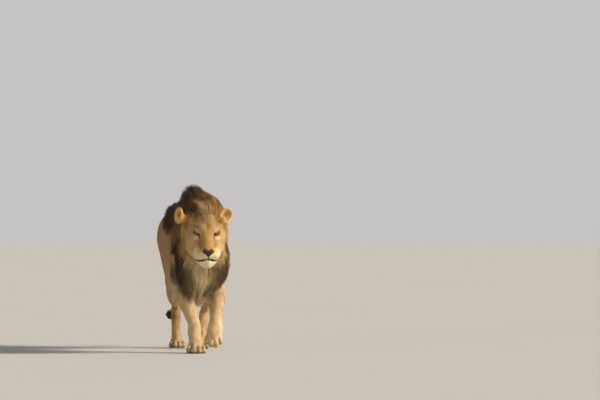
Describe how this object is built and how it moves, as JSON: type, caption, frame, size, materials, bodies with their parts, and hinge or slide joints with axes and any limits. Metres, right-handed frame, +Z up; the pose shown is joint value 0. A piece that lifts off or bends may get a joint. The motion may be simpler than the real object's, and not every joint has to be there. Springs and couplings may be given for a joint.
{
  "type": "lion",
  "caption": "Life-size adult male lion in mid stride, dark mane, one forepaw lifted, tail hanging behind; a still museum-style model.",
  "frame": {"origin": "on the ground under the middle of the animal's bounding box", "axes": "+Y runs from the nose towards the tail, so the animal faces -Y; +X is its left side; +Z is up"},
  "size_m": [0.4705, 2.201, 1.1623],
  "materials": {
    "coat_tawny": "short hair, matt",
    "coat_pale": "short hair, matt",
    "mane_dark": "long hair, soft sheen",
    "mane_gold": "long hair, soft sheen",
    "tuft_black": "long hair, matt",
    "nose_leather": "damp, satin",
    "eye_amber": "polished"
  },
  "bodies": {
    "root": {"head": "coat_tawny", "nose": "nose_leather", "ear_left": "coat_tawny", "ear_right": "coat_tawny", "eye_left": "eye_amber", "eye_right": "eye_amber", "neck": "mane_dark", "mane_crest": "mane_gold", "mane_breast": "mane_dark", "chest": "coat_tawny", "belly": "coat_tawny", "hindquarters": "coat_tawny", "foreleg_left": "coat_pale", "foreleg_right": "coat_pale", "forepaw_left": "coat_pale", "forepaw_right": "coat_pale", "hindleg_left": "coat_tawny", "hindleg_right": "coat_tawny", "hindpaw_left": "coat_pale", "hindpaw_right": "coat_pale", "tail_base": "coat_tawny", "tail_end": "coat_tawny", "tail_tuft": "tuft_black"}
  },
  "joints": []
}
